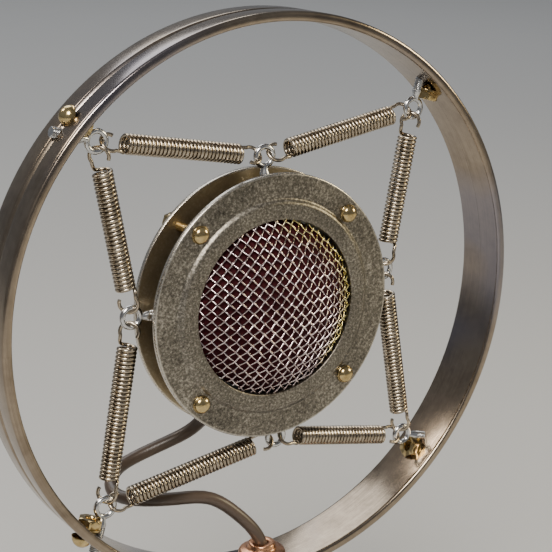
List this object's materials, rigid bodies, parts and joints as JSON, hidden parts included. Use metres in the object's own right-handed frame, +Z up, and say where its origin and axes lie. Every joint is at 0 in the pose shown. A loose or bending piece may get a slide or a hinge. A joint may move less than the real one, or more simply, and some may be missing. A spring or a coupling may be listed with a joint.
{
  "type": "condenser microphone",
  "caption": "Side-address condenser microphone: a round capsule behind domed wire mesh, hung on coil springs inside a ring that tilts on a hinge above a tubular body with a cable socket.",
  "frame": {"origin": "on the body tube's axis at half the tube's length, where a stand clip grips it", "axes": "+Z up along the tube to the ring, -Y the front that is spoken into, +X to the right as seen from the front"},
  "size_m": [0.164, 0.0428, 0.2896],
  "materials": {
    "ring_nickel": "warm nickel plate, satin",
    "plate_zinc": "grey zinc plate, slightly speckled",
    "brass": "polished brass",
    "body_copper": "copper-coloured, satin",
    "grille_wire": "bright drawn wire",
    "spring_steel": "bright spring wire",
    "bright_zinc": "bright zinc plate",
    "inner_cloth": "fine dark red cloth",
    "diaphragm_gold": "gold-coated film",
    "dark_anodised": "black, satin",
    "cable_jacket": "brown-grey, satin",
    "black_plastic": "matt black",
    "circuit_board": "green board"
  },
  "bodies": {
    "body": {"body_tube": "body_copper", "fork_cap": "brass", "connector_collar": "brass", "connector_insert": "black_plastic", "connector_pin_1": "bright_zinc", "connector_pin_2": "bright_zinc", "connector_pin_3": "bright_zinc", "circuit_board": "circuit_board", "output_transformer": "dark_anodised", "coupling_capacitor": "black_plastic", "collar_screw": "dark_anodised", "hinge_screw": "brass", "stem_lead": "cable_jacket"},
    "head": {"front_hoop": "ring_nickel", "rear_hoop": "ring_nickel", "ring_stem": "body_copper", "cable_gland": "body_copper", "ring_eyebolt_1": "bright_zinc", "ring_eyebolt_2": "bright_zinc", "ring_eyebolt_3": "bright_zinc", "ring_eyebolt_4": "bright_zinc", "ring_nut_1": "brass", "ring_nut_2": "brass", "ring_nut_3": "brass", "ring_nut_4": "brass", "spring_1": "spring_steel", "spring_2": "spring_steel", "spring_3": "spring_steel", "spring_4": "spring_steel", "spring_5": "spring_steel", "spring_6": "spring_steel", "spring_7": "spring_steel", "spring_8": "spring_steel", "capsule_cable": "cable_jacket"},
    "lock_screw": {"lock_screw": "brass"},
    "capsule": {"front_plate": "plate_zinc", "rear_plate": "plate_zinc", "front_grille": "grille_wire", "rear_grille": "grille_wire", "front_cloth": "inner_cloth", "rear_cloth": "inner_cloth", "drum": "dark_anodised", "cell_body": "brass", "front_diaphragm": "diaphragm_gold", "rear_diaphragm": "diaphragm_gold", "front_clamp_ring": "brass", "rear_clamp_ring": "brass", "cable_grommet": "black_plastic", "capsule_eye_1": "bright_zinc", "capsule_eye_2": "bright_zinc", "capsule_eye_3": "bright_zinc", "capsule_eye_4": "bright_zinc", "plate_screw_1": "brass", "plate_screw_2": "brass", "plate_screw_3": "brass", "plate_screw_4": "brass", "plate_nut_1": "brass", "plate_nut_2": "brass", "plate_nut_3": "brass", "plate_nut_4": "brass"}
  },
  "joints": [
    {"name": "head_tilt", "type": "hinge", "parent": "body", "child": "head", "pos_m": [0, 0, 0.0593], "axis": [1, 0, 0], "range_deg": [-70, 70], "deforming": ["stem_lead"]},
    {"name": "lock_screw_turn", "type": "hinge", "parent": "body", "child": "lock_screw", "pos_m": [0, 0, 0.0593], "axis": [1, 0, 0], "range_deg": [0, 180]},
    {"name": "capsule_float", "type": "slide", "parent": "head", "child": "capsule", "axis": [0, 1, 0], "range_m": [-0.004, 0.004], "stiffness_N_per_m": 300, "deforming": ["spring_1", "spring_2", "spring_3", "spring_4", "spring_5", "spring_6", "spring_7", "spring_8", "capsule_cable"]}
  ]
}
